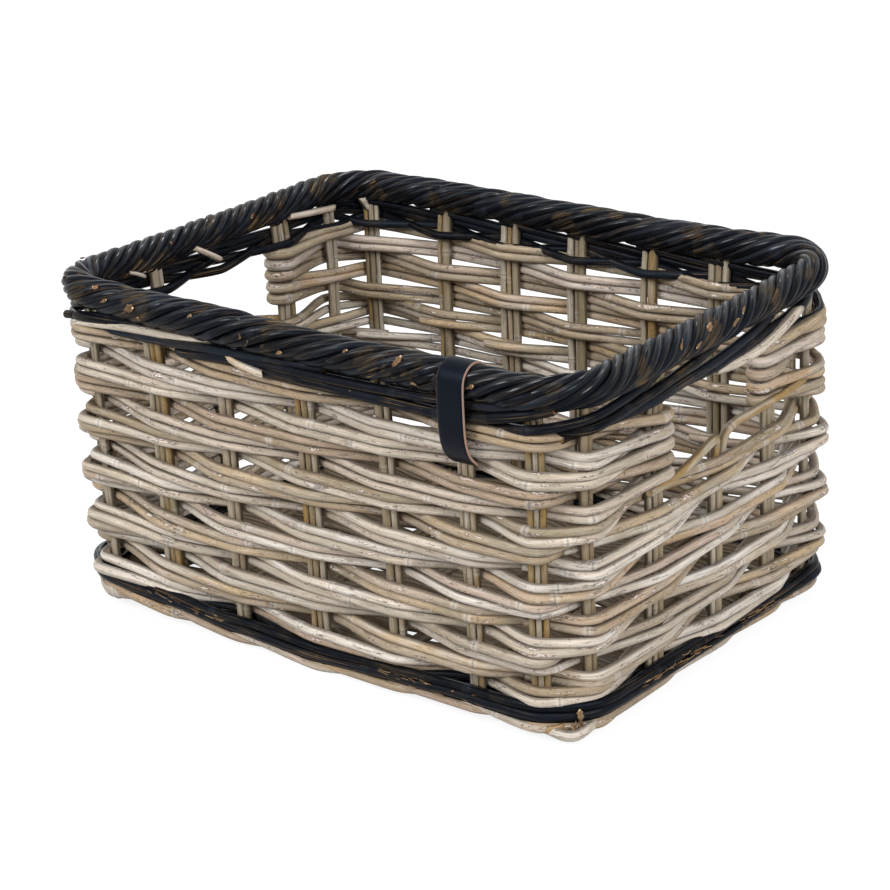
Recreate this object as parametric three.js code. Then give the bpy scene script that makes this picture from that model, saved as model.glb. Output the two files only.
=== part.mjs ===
// Woven rattan bicycle basket, millimetres, +Z up.
// The origin is on the floor, under the middle of the basket, and the long side runs along X.
import * as THREE from "three";

// Overall size, measured over the rim.
const basketLength = 470;
const basketWidth = 346;
const basketHeight = 246;

// Rim, rods and stakes.
const rimDiameter = 24;
const rodDiameter = 6.4;
const stakeRodDiameter = 6.2;
const sideStakeRods = 3;
const cornerStakeRods = 2;
const clearance = 0.3;

// The line of the stakes, seen from above, is a rounded rectangle.
const wallInset = 16;
const wallLean = 3.5;
const cornerRadius = 38;
const cornerStakeDegrees = 25;

// The weave: each round is a pair of rods that passes outside two stakes and inside the third.
const roundCount = 17;
const stakesPerRepeat = 3;
const stakeShoulder = 0.9;
const footFlat = 4;
const openingFirstRound = 12;
const openingRounds = 4;

// Base: cross sticks under the floor's lengthwise bands of rods.
const baseHeight = 11;
const baseStickCount = 7;
const baseStickRods = 2;
const baseBandCount = 8;
const baseBandRods = 6;
const stakeFootHeight = 1;

// Leather strap that hangs over the rim in front of one stake.
const strapWidth = 21;
const strapThickness = 2;
const strapStake = 6;
const strapShift = 4;
const strapInnerDrop = 34;
const strapTuckRadius = 8;

// How far the maker set each side's stakes off even spacing: front, right, back and left.
const stakeDrift = [
  [-2, -3, 5, 10, 10],
  [6, 12, 12],
  [0, -4, -4, -6, -6],
  [-10, 0, -6],
];

const wallTop = basketHeight - rimDiameter;
const pitch = wallTop / roundCount;
const roundHeight = pitch - clearance;
const rimRadius = rimDiameter / 2;
const weaveOffset = (stakeRodDiameter + rodDiameter) / 2 + clearance;
const weaveReach = weaveOffset + rodDiameter / 2;

const greyRattan = new THREE.MeshStandardMaterial({ color: 0xb3a68f, roughness: 0.7 });
const stakeRattan = new THREE.MeshStandardMaterial({ color: 0x94825a, roughness: 0.75 });
const blackRattan = new THREE.MeshStandardMaterial({ color: 0x1f2126, roughness: 0.45 });
const leather = new THREE.MeshStandardMaterial({ color: 0x16181d, roughness: 0.5 });

const basket = new THREE.Group();

function addPiece(name, geometry, material) {
  const mesh = new THREE.Mesh(geometry, material);
  mesh.name = name;
  basket.add(mesh);
}

const twoDigits = (number) => String(number).padStart(2, "0");

// Half length and half width of the stake line at height z.
function stakeLine(z) {
  const leanIn = wallLean * (1 - z / wallTop);
  return {
    x: basketLength / 2 - wallInset - leanIn,
    y: basketWidth / 2 - wallInset - leanIn,
  };
}

// A heading in degrees gives the way along the wall, and outward is a quarter turn clockwise from it.
function headings(degrees) {
  const turn = THREE.MathUtils.degToRad(degrees);
  const along = new THREE.Vector3(Math.cos(turn), Math.sin(turn), 0);
  return { along, outward: new THREE.Vector3(along.y, -along.x, 0) };
}

// Each side is walked anticlockwise as seen from above: front, right, back, left.
// A side's stakes are followed by the two stakes of the corner after it.
function listStakes() {
  const cornerTurns = [45 - cornerStakeDegrees, 45 + cornerStakeDegrees];
  const cornerArc = THREE.MathUtils.degToRad(cornerTurns[0]) * cornerRadius;
  const stakes = [];
  stakeDrift.forEach((drifts, side) => {
    const line = stakeLine(wallTop);
    const halfSide = (side % 2 ? line.y : line.x) - cornerRadius + cornerArc;
    const spacing = (2 * halfSide) / (drifts.length + 1);
    drifts.forEach((drift, i) => {
      const slide = spacing * (i - (drifts.length - 1) / 2) + drift;
      stakes.push({ side, slide, degrees: side * 90, rods: sideStakeRods });
    });
    cornerTurns.forEach((turn) => {
      stakes.push({ side, corner: true, degrees: side * 90 + turn, rods: cornerStakeRods });
    });
  });
  stakes.unshift(stakes.pop());
  stakes.forEach((stake, i) => {
    stake.number = i + 1;
  });
  return stakes;
}

const stakes = listStakes();
const besideOpening = { right: [9, 11], left: [21, 23] };
const cutStakes = [10, 22];

// Middle of a stake at height z.
function stakePoint(stake, z) {
  const line = stakeLine(z);
  const side = headings(stake.side * 90);
  const halfLength = stake.side % 2 ? line.y : line.x;
  const halfDepth = stake.side % 2 ? line.x : line.y;
  const point = new THREE.Vector3(0, 0, z);
  if (!stake.corner) {
    return point.addScaledVector(side.along, stake.slide).addScaledVector(side.outward, halfDepth);
  }
  return point
    .addScaledVector(side.along, halfLength - cornerRadius)
    .addScaledVector(side.outward, halfDepth - cornerRadius)
    .addScaledVector(headings(stake.degrees).outward, cornerRadius);
}

// A body from rings of points that all have the same count. A closed body's last ring meets its first;
// an open one gets flat ends. The faces are turned out by the sign of the volume that they enclose.
function loft(rings, closed) {
  const count = rings[0].length;
  const positions = rings.flat().flatMap((p) => [p.x, p.y, p.z]);
  const index = [];
  const last = closed ? rings.length : rings.length - 1;
  for (let i = 0; i < last; i++) {
    const next = (i + 1) % rings.length;
    for (let j = 0; j < count; j++) {
      const k = (j + 1) % count;
      const [a, b, c, d] = [i * count + j, next * count + j, next * count + k, i * count + k];
      index.push(a, b, c, a, c, d);
    }
  }
  if (!closed) {
    const start = flatEnd(rings[0]);
    const offset = (rings.length - 1) * count;
    start.forEach(([a, b, c]) => index.push(a, b, c, offset + c, offset + b, offset + a));
  }
  const geometry = new THREE.BufferGeometry();
  geometry.setAttribute("position", new THREE.Float32BufferAttribute(positions, 3));
  geometry.setIndex(enclosedVolume(positions, index) < 0 ? index.reverse() : index);
  geometry.computeVertexNormals();
  return geometry;
}

// Triangles over a flat ring, wound against the walls that start there.
function flatEnd(ring) {
  const origin = ring[0];
  const u = new THREE.Vector3().subVectors(ring[1], origin).normalize();
  const area = new THREE.Vector3();
  ring.forEach((p, i) => {
    const q = ring[(i + 1) % ring.length];
    area.add(new THREE.Vector3().crossVectors(p.clone().sub(origin), q.clone().sub(origin)));
  });
  const v = new THREE.Vector3().crossVectors(area.normalize(), u);
  const flat = ring.map((p) => {
    const d = p.clone().sub(origin);
    return new THREE.Vector2(d.dot(u), d.dot(v));
  });
  return THREE.ShapeUtils.triangulateShape(flat, []);
}

function enclosedVolume(positions, index) {
  const corner = (n) => new THREE.Vector3().fromArray(positions, 3 * index[n]);
  let six = 0;
  for (let n = 0; n < index.length; n += 3) {
    six += corner(n).dot(corner(n + 1).cross(corner(n + 2)));
  }
  return six / 6;
}

// Outline of rods side by side, anticlockwise: two points on each crown, one in each valley between rods.
// The crown's half width and the valley's height are shares of the rod's radius.
function rodRow(count, diameter) {
  const crownShare = 0.45;
  const valleyShare = 0.6;
  const radius = diameter / 2;
  const crown = radius * crownShare;
  const valley = radius * valleyShare;
  const half = [];
  for (let i = 0; i < count; i++) {
    const middle = (i - (count - 1) / 2) * diameter;
    half.push([middle - crown, radius], [middle + crown, radius]);
    if (i < count - 1) half.push([middle + radius, valley]);
  }
  const lower = half.map(([u, v]) => [u, -v]);
  const end = (count * diameter) / 2;
  const upper = half.reverse();
  return [...lower, [end, 0], ...upper, [-end, 0]];
}

// Stakes: rods side by side, straight from the foot to the rim, or to the sill of a hand opening.
function makeStakes() {
  const sill = (openingFirstRound - 1) * pitch - clearance;
  for (const stake of stakes) {
    const top = cutStakes.includes(stake.number) ? sill : wallTop - clearance;
    const { along, outward } = headings(stake.degrees);
    const outline = rodRow(stake.rods, stakeRodDiameter);
    const rings = [stakeFootHeight, top].map((z) => {
      const middle = stakePoint(stake, z);
      return outline.map(([u, v]) =>
        middle.clone().addScaledVector(along, u).addScaledVector(outward, v),
      );
    });
    addPiece("stake_" + twoDigits(stake.number), loft(rings, false), stakeRattan);
  }
}

// Section of a round: two rods with a groove between them, as [outward, up]. The foot's is flat below.
// The groove's half width is a share of the rod's radius.
function roundSection(flat) {
  const grooveShare = 0.3;
  const out = rodDiameter / 2;
  const groove = out * grooveShare;
  const quarter = roundHeight / 4;
  const bottom = flat
    ? [
        [-flat / 2, -roundHeight / 2],
        [flat / 2, -roundHeight / 2],
      ]
    : [[0, -roundHeight / 2]];
  const right = [
    [out, -quarter],
    [groove, 0],
    [out, quarter],
  ];
  const left = [
    [-out, quarter],
    [-groove, 0],
    [-out, -quarter],
  ];
  return [...bottom, ...right, [0, roundHeight / 2], ...left];
}

// Carries a section along a closed path: level across, square to the path's corners, and upright.
function carryRound(path, section) {
  const rings = path.map((point, i) => {
    const before = path[(i + path.length - 1) % path.length];
    const after = path[(i + 1) % path.length];
    const arriving = point.clone().sub(before).setZ(0).normalize();
    const leaving = after.clone().sub(point).setZ(0).normalize();
    const along = arriving.clone().add(leaving).normalize();
    const across = new THREE.Vector3(along.y, -along.x, 0).divideScalar(along.dot(leaving));
    return section.map(([out, up]) => {
      const p = point.clone().addScaledVector(across, out);
      return p.setZ(point.z + up);
    });
  });
  return loft(rings, true);
}

const roundLevel = (round) => (round - 0.5) * pitch - clearance / 2;

// True where a round passes inside a stake: every third stake, one stake further on in each round up.
const passesInside = (round, stake) =>
  (stake.number - round + roundCount * stakesPerRepeat) % stakesPerRepeat === 1;

// The two places where a round lies flat against a stake, before and after it.
function besideStake(round, stake, inside) {
  const z = roundLevel(round);
  const middle = stakePoint(stake, z);
  const { along, outward } = headings(stake.degrees);
  const shoulder = (stake.rods * stakeRodDiameter) / 2 + stakeShoulder;
  const offset = inside ? -weaveOffset : weaveOffset;
  return [-shoulder, shoulder].map((u) =>
    middle.clone().addScaledVector(along, u).addScaledVector(outward, offset),
  );
}

function makeRound(name, round, material) {
  const path = stakes.flatMap((stake) => besideStake(round, stake, passesInside(round, stake)));
  addPiece(name, carryRound(path, roundSection(round === 1 ? footFlat : 0)), material);
}

// Half a turn round the edge of a stake beside an opening, from one round down to the next or back up.
function turnBack(from, to) {
  const middle = from.clone().add(to).multiplyScalar(0.5);
  const spoke = from.clone().sub(middle).setZ(0);
  const onward = new THREE.Vector3(-spoke.y, spoke.x, 0);
  const steps = 4;
  const points = [];
  for (let i = 1; i < steps; i++) {
    const turn = (Math.PI * i) / steps;
    points.push(
      middle
        .clone()
        .setZ(THREE.MathUtils.lerp(from.z, to.z, i / steps))
        .addScaledVector(spoke, Math.cos(turn))
        .addScaledVector(onward, Math.sin(turn)),
    );
  }
  return points;
}

// Rounds beside the hand openings: one goes out along the upper level, turns back round the stake at the
// opening's edge, and returns one level lower. The upper level ends outside its stakes, the lower inside.
function makeTurnRound(name, upperRound, firstStake, lastStake) {
  const count = ((lastStake - firstStake + stakes.length) % stakes.length) + 1;
  const walked = Array.from({ length: count }, (_, i) => stakes[(firstStake - 1 + i) % stakes.length]);
  const isEdge = (stake) => stake.number === firstStake || stake.number === lastStake;
  const upper = walked.flatMap((stake) =>
    besideStake(upperRound, stake, !isEdge(stake) && passesInside(upperRound, stake)),
  );
  const lower = walked
    .flatMap((stake) =>
      besideStake(upperRound - 1, stake, isEdge(stake) || passesInside(upperRound - 1, stake)),
    )
    .reverse();
  const path = [
    ...upper,
    ...turnBack(upper[upper.length - 1], lower[0]),
    ...lower,
    ...turnBack(lower[lower.length - 1], upper[0]),
  ];
  addPiece(name, carryRound(path, roundSection(0)), greyRattan);
}

function makeWeave() {
  makeRound("black_foot_round", 1, blackRattan);
  makeRound("foot_round", 2, greyRattan);
  for (let round = 3; round < openingFirstRound; round++) {
    makeRound("weave_round_" + twoDigits(round), round, greyRattan);
  }
  for (let i = 0; i < openingRounds / 2; i++) {
    const upperRound = openingFirstRound + 2 * i + 1;
    const levels = twoDigits(upperRound - 1) + "_" + twoDigits(upperRound);
    makeTurnRound("front_turn_round_" + levels, upperRound, besideOpening.left[1], besideOpening.right[0]);
    makeTurnRound("back_turn_round_" + levels, upperRound, besideOpening.right[1], besideOpening.left[0]);
  }
  makeRound("lower_black_wale", roundCount - 1, blackRattan);
  makeRound("upper_black_wale", roundCount, blackRattan);
}

// Rim: a thick rope laid over the stake ends, along a rounded rectangle concentric with the stake line.
function makeRim() {
  const radius = cornerRadius + wallInset - rimRadius;
  const halfLength = basketLength / 2 - rimRadius - radius;
  const halfWidth = basketWidth / 2 - rimRadius - radius;
  const cornerSteps = 6;
  const sides = 12;
  const rings = [];
  for (let corner = 0; corner < 4; corner++) {
    const x = corner === 0 || corner === 3 ? halfLength : -halfLength;
    const y = corner < 2 ? halfWidth : -halfWidth;
    for (let i = 0; i <= cornerSteps; i++) {
      const turn = (Math.PI / 2) * (corner + i / cornerSteps);
      const spoke = new THREE.Vector3(Math.cos(turn), Math.sin(turn), 0);
      const middle = new THREE.Vector3(x, y, basketHeight - rimRadius).addScaledVector(spoke, radius);
      rings.push(
        Array.from({ length: sides }, (_, j) => {
          const around = (2 * Math.PI * j) / sides;
          const p = middle.clone().addScaledVector(spoke, rimRadius * Math.cos(around));
          return p.setZ(middle.z + rimRadius * Math.sin(around));
        }),
      );
    }
  }
  addPiece("rim_rope", loft(rings, true), blackRattan);
}

// How far a straight piece of the base may run to each side when its outer edge is off the middle.
function baseReach(edge, halfRun, halfCross, radius) {
  const past = Math.max(0, edge - (halfCross - radius));
  return halfRun - radius + Math.sqrt(Math.max(0, radius * radius - past * past));
}

// Section of a flat band of rods, anticlockwise: one point on each crown and one in each valley between rods.
// The valley's height is a share of the rod's radius.
function bandSection(width) {
  const valleyShare = 0.35;
  const radius = rodDiameter / 2;
  const spacing = width / baseBandRods;
  const upper = [];
  for (let i = 0; i < baseBandRods; i++) {
    const middle = (i - (baseBandRods - 1) / 2) * spacing;
    upper.push([middle, radius]);
    if (i < baseBandRods - 1) upper.push([middle + spacing / 2, radius * valleyShare]);
  }
  const lower = upper.map(([u, v]) => [u, -v]);
  return [...lower, [width / 2, 0], ...upper.reverse(), [-width / 2, 0]];
}

// Base: sticks from front to back, with bands of rods that run lengthwise over one and under the next.
function makeBase() {
  const line = stakeLine(baseHeight);
  const margin = weaveReach + clearance;
  const halfLength = line.x - margin;
  const halfWidth = line.y - margin;
  const radius = cornerRadius - margin;
  const shoulder = (baseStickRods * stakeRodDiameter) / 2 + stakeShoulder;
  const outerStick = halfLength - radius - shoulder;
  const stickSpacing = (2 * outerStick) / (baseStickCount - 1);
  const stickPlaces = Array.from({ length: baseStickCount }, (_, i) => i * stickSpacing - outerStick);

  stickPlaces.forEach((x, i) => {
    const edge = Math.abs(x) + (baseStickRods * stakeRodDiameter) / 2;
    const run = baseReach(edge, halfWidth, halfLength, radius);
    const outline = rodRow(baseStickRods, stakeRodDiameter);
    const rings = [-run, run].map((y) =>
      outline.map(([u, v]) => new THREE.Vector3(x + u, y, baseHeight + v)),
    );
    addPiece("base_stick_" + (i + 1), loft(rings, false), stakeRattan);
  });

  const bandPitch = (2 * halfWidth) / baseBandCount;
  const halfBand = (bandPitch - clearance) / 2;
  const section = bandSection(2 * halfBand);
  for (let band = 0; band < baseBandCount; band++) {
    const y = (band - (baseBandCount - 1) / 2) * bandPitch;
    const run = baseReach(Math.abs(y) + halfBand, halfLength, halfWidth, radius);
    const over = (i) => baseHeight + ((i + band) % 2 ? weaveOffset : -weaveOffset);
    const path = stickPlaces.flatMap((x, i) => [
      [x - shoulder, over(i)],
      [x + shoulder, over(i)],
    ]);
    if (run > outerStick + shoulder + rodDiameter) {
      path.unshift([-run, baseHeight]);
      path.push([run, baseHeight]);
    }
    const rings = path.map(([x, z]) => section.map(([u, v]) => new THREE.Vector3(x, y + u, z + v)));
    addPiece("base_band_" + (band + 1), loft(rings, false), greyRattan);
  }
}

// Strap: up inside the wall, over the rope, down outside, and in under a round against its stake.
function makeStrap() {
  const stake = stakes[strapStake - 1];
  const tuckRound = openingFirstRound + 2;
  const tuck = roundLevel(tuckRound);
  const half = strapThickness / 2;
  const rimMiddle = { out: basketWidth / 2 - rimRadius, z: basketHeight - rimRadius };
  const over = rimRadius + clearance + half;
  const inner = stakeLine(wallTop).y - weaveReach - clearance - half;
  const outer = rimMiddle.out + over;
  const centre = [
    [inner, wallTop - strapInnerDrop],
    [inner, wallTop],
  ];
  const steps = 8;
  for (let i = 0; i <= steps; i++) {
    const turn = Math.PI * (1 - i / steps);
    centre.push([rimMiddle.out + over * Math.cos(turn), rimMiddle.z + over * Math.sin(turn)]);
  }
  const tuckSteps = 4;
  for (let i = 0; i <= tuckSteps; i++) {
    const turn = (-Math.PI / 2) * (i / tuckSteps);
    centre.push([
      outer - strapTuckRadius + strapTuckRadius * Math.cos(turn),
      tuck + strapTuckRadius + strapTuckRadius * Math.sin(turn),
    ]);
  }
  centre.push([stakeLine(tuck).y + stakeRodDiameter / 2 + clearance, tuck]);
  const x = stake.slide + strapShift;
  const points = centre.map(([out, z]) => new THREE.Vector2(out, z));
  const rings = points.map((point, i) => {
    const before = points[Math.max(0, i - 1)];
    const after = points[Math.min(points.length - 1, i + 1)];
    const arriving = i ? point.clone().sub(before).normalize() : after.clone().sub(point).normalize();
    const leaving = i < points.length - 1 ? after.clone().sub(point).normalize() : arriving;
    const along = arriving.clone().add(leaving).normalize();
    const across = new THREE.Vector2(-along.y, along.x).divideScalar(along.dot(leaving));
    return [
      [-strapWidth / 2, -half],
      [strapWidth / 2, -half],
      [strapWidth / 2, half],
      [-strapWidth / 2, half],
    ].map(([u, v]) => {
      const p = point.clone().addScaledVector(across, v);
      return new THREE.Vector3(x + u, -p.x, p.y);
    });
  });
  addPiece("strap", loft(rings, false), leather);
}

makeStakes();
makeWeave();
makeRim();
makeBase();
makeStrap();

export default basket;
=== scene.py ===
import math
from collections import namedtuple

import bpy
import numpy as np
from mathutils import Matrix, Vector


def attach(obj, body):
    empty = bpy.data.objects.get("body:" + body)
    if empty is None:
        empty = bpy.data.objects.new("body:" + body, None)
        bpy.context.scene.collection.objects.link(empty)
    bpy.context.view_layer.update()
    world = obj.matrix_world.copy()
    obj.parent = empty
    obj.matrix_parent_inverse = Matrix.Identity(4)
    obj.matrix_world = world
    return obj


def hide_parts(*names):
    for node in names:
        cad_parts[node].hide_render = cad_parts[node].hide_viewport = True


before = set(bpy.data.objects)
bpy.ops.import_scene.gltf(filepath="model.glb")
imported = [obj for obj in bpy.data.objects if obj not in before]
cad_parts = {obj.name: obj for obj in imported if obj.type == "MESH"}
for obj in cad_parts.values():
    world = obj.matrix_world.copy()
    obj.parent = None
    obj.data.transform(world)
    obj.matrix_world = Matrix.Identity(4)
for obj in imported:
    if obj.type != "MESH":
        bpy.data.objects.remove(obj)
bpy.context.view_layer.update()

# Sizes in millimetres, the same as the solids'.
LENGTH, WIDTH, HEIGHT = 470.0, 346.0, 246.0
RIM_RADIUS = 12.0
ROD = 6.4
STAKE_ROD = 6.2
WALL_INSET = 16.0
WALL_LEAN = 3.5
CORNER_RADIUS = 38.0
CORNER_STAKE_TURNS = (20.0, 70.0)
ROUNDS = 17
STAKES_PER_REPEAT = 3
WALL_TOP = HEIGHT - 2 * RIM_RADIUS
PITCH = WALL_TOP / ROUNDS
SILL_ROUND = 12
BASE_HEIGHT = 11.0
UP = np.array([0.0, 0.0, 1.0])
# How far the stakes of the front, right, back and left walls stand from their even places.
STAKE_DRIFT = ((-2, -3, 5, 10, 10), (6, 12, 12), (0, -4, -4, -6, -6), (-10, 0, -6))
# Numbers of the stakes cut under the hand openings, at the near corner, and on the right wall behind it.
CUT_STAKES = (10, 22)
NEAR_CORNER = (7, 8)
RIGHT_STAKES = (9, 10, 11)
# Stakes at the hand openings' edges, and the height of the lowest turn there and of one turn.
EDGE_STAKES = {"front": (23, 9), "back": (11, 21)}
EDGE_TURNS = {"front": (149.5, 10.3), "back": (162.0, 9.5)}
# A pair of rods passes the stakes' middles at this distance, and rises more inside a stake than outside.
WEAVE_OFFSET = 6.9
INSIDE_RISE = 1.3
OUTSIDE_RISE = 0.4
NEAR_CORNER_RISE = 4.0
# How much further out than on the walls a round lies on the corners' stakes, by the stake's number.
CORNER_BULGE = {24: 5.5, 1: 5.5, 7: 1.5, 8: 1.5, 12: 5.5, 13: 5.5, 19: 5.5, 20: 5.5}

# First seed of the random draws of each kind of piece.
SEEDS = dict(tilt=60, round=100, foot=101, black_round=102, wale=160, unstained=170, stake=300, rope=500,
             bark=640, turn=700, stick=800, band=900)

# A stake's number, its side counted anticlockwise from the front, whether it stands on the corner after that
# side, its place along the side, the wall's direction there in degrees, and its count of rods and bulge.
Stake = namedtuple("Stake", "number side corner slide turn rods bulge")


def draws(kind, number=0):
    """A source of random numbers for one piece, the same in each run."""
    return np.random.default_rng(SEEDS[kind] + number)


def heading(degrees):
    """Unit vectors along a wall and outward from it: outward is a quarter turn clockwise from along."""
    turn = math.radians(degrees)
    along = np.array([math.cos(turn), math.sin(turn), 0.0])
    return along, np.array([along[1], -along[0], 0.0])


def stake_line(z):
    """Half length and half width of the line of the stakes, which leans out evenly with height."""
    lean = WALL_LEAN * (1 - z / WALL_TOP)
    return LENGTH / 2 - WALL_INSET - lean, WIDTH / 2 - WALL_INSET - lean


def list_stakes():
    """The stakes anticlockwise: each side's, spread evenly and moved by its drift, and two on every corner's
    quarter circle. Counting begins with the second one of the front left corner."""
    found = []
    corner_arc = math.radians(CORNER_STAKE_TURNS[0]) * CORNER_RADIUS
    for side, drifts in enumerate(STAKE_DRIFT):
        half = stake_line(WALL_TOP)[side % 2] - CORNER_RADIUS + corner_arc
        spacing = 2 * half / (len(drifts) + 1)
        for i, drift in enumerate(drifts):
            slide = spacing * (i - (len(drifts) - 1) / 2) + drift
            found.append((side, False, slide, side * 90.0, 3))
        found += [(side, True, 0.0, side * 90 + turn, 2) for turn in CORNER_STAKE_TURNS]
    found.insert(0, found.pop())
    return [Stake(number, *stake, CORNER_BULGE.get(number, 0.0)) for number, stake in enumerate(found, 1)]


STAKES = list_stakes()


def at_stake(stake, z, across=0.0, out=0.0):
    """A point beside a stake at height z: the stake's middle, moved along the wall and outward from it."""
    half = stake_line(z)
    run, depth = half[stake.side % 2], half[1 - stake.side % 2]
    side_along, side_out = heading(stake.side * 90.0)
    along, outward = heading(stake.turn)
    if stake.corner:
        middle = side_along * (run - CORNER_RADIUS) + side_out * (depth - CORNER_RADIUS)
        middle = middle + outward * CORNER_RADIUS
    else:
        middle = side_along * stake.slide + side_out * depth
    return middle + along * across + outward * out + UP * z


def on_front(x, out, z):
    """A point of the front wall, out being counted from the line of its stakes."""
    return np.array([x, -stake_line(z)[1] - out, z])


def on_right(y, out, z):
    """The same for the right wall."""
    return np.array([stake_line(z)[0] + out, y, z])


def on_left(y, out, z):
    """The same for the left wall."""
    return np.array([-stake_line(z)[0] - out, y, z])


def round_height(level):
    """Height of a round's middle, the levels counted from 1 at the foot."""
    return (level - 0.5) * PITCH


def passes_inside(level, stake):
    """True at every third stake, one stake further on in each round up."""
    return (stake.number - level) % STAKES_PER_REPEAT == 1


def bell(values, middle, width):
    """1 at the middle, falling off on both sides as the exponential of the squared distance in widths."""
    return np.exp(-(((values - middle) / width) ** 2))


def settle(points):
    """The basket's own unevenness, mostly bell curves along X. The front rim stands up at its left corner
    and hangs in its middle, the back rim stands up at its right corner, and the left rim sits lower, all
    fading downwards as the height's cube. Beside the front's middle the rope itself is raised, as the
    twelfth power. Half way up, the front left corner's rounds rise as a half wave of the height's square
    root. In the lower half the left side bulges out near the front, and the right side near the back."""
    p = points.copy()
    x, y, z = p.T.copy()
    height = np.clip(z / HEIGHT, 0, 1.1)
    front = np.clip(-y / (WIDTH / 2), 0, 1) ** 2
    back = np.clip(y / (WIDTH / 2), 0, 1) ** 2
    left = np.clip(-x / (LENGTH / 2), 0, 1) ** 4
    right = np.clip(x / (LENGTH / 2), 0, 1) ** 6
    belly = np.clip(z / 12, 0, 1) * np.clip((0.9 - height) / 0.6, 0, 1)
    p[:, 2] += (4.5 * bell(x, -235, 60) - 4.0 * bell(x, -10, 95)) * front * height**3
    p[:, 2] += 2.6 * bell(x, -50, 60) * front * height**12
    p[:, 2] += (5.5 * bell(x, 235, 90) * back - 2.5 * left) * height**3
    p[:, 2] += 10.0 * bell(x, -190, 62) * front * np.sin(np.pi * np.sqrt(np.clip(height, 0, 1)))
    p[:, 0] += belly * 6.0 * right * np.clip(0.5 + y / WIDTH, 0, 1)
    p[:, 0] -= belly * 12.0 * left * np.clip(0.4 - y / WIDTH, 0, 1)
    return p


def eased(polygon, closed=False):
    """Rounds off a polygon: between the middles of two neighbouring legs runs a parabola that leaves and
    arrives along them. Gives dense points and their lengths along the curve."""
    p = np.asarray(polygon, float)
    if closed:
        before, after, corner = (np.roll(p, 1, 0) + p) / 2, (np.roll(p, -1, 0) + p) / 2, p
    else:
        middles = (p[1:] + p[:-1]) / 2
        middles[0], middles[-1] = p[0], p[-1]
        before, after, corner = middles[:-1], middles[1:], p[1:-1]
    t = np.linspace(0, 1, 20, endpoint=False)[None, :, None]
    curve = (1 - t) ** 2 * before[:, None] + 2 * t * (1 - t) * corner[:, None] + t**2 * after[:, None]
    curve = np.vstack([curve.reshape(-1, p.shape[1]), after[-1:]])
    steps = np.linalg.norm(np.diff(curve[:, :3], axis=0), axis=1)
    return curve, np.concatenate([[0.0], np.cumsum(steps)])


def read_curve(places, curve, lengths):
    """The curve's points at these places along it."""
    return np.stack([np.interp(places, lengths, column) for column in curve.T], 1)


def unit(vectors):
    """The vectors at length 1."""
    return vectors / np.linalg.norm(vectors, axis=-1, keepdims=True)


def ripple(places, wavelength, source):
    """Smooth wave between about -1 and 1: three sines whose lengths and phases are drawn at random."""
    wave = np.zeros(len(places))
    shares = (1.0, 0.55, 0.3)
    for share in shares:
        length = wavelength * share * source.uniform(0.8, 1.25)
        wave += share * np.sin(2 * np.pi * places / length + source.uniform(0, 2 * np.pi))
    return wave / sum(shares)


def grid_faces(rings, sides, last):
    """Four-sided faces between neighbouring rings of a tube's points, and each face's ring and side."""
    i, j = np.meshgrid(np.arange(last), np.arange(sides), indexing="ij")
    i, j = i.ravel(), j.ravel()
    onward, next_side = (i + 1) % rings * sides, (j + 1) % sides
    return np.stack([i * sides + j, i * sides + next_side, onward + next_side, onward + j], 1), i, j


METRES_PER_MM = 0.001
# A rod's first ring stands this far from its cut end, which is narrower by this factor.
END_STEP, END_NARROWING = 0.6, 0.88
# The first number of a rod's UV map is its length in decimetres. Each point keeps its distance to the next
# knuckle, up to a reach, and rings of points stand where a knuckle's ridge and groove need them. Knuckles
# keep a margin from the ends.
UV_PER_MM = 0.01
KNUCKLE_MARGIN = 8
KNUCKLE_REACH = 12.0
KNUCKLE_RINGS = np.array([-3.0, -1.1, -0.35, 0.35, 1.1, 3.0])
KNUCKLE_RIDGE, KNUCKLE_RIDGE_WIDTH = 0.32, 1.5
KNUCKLE_GROOVE, KNUCKLE_GROOVE_WIDTH = 0.22, 0.45


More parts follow.
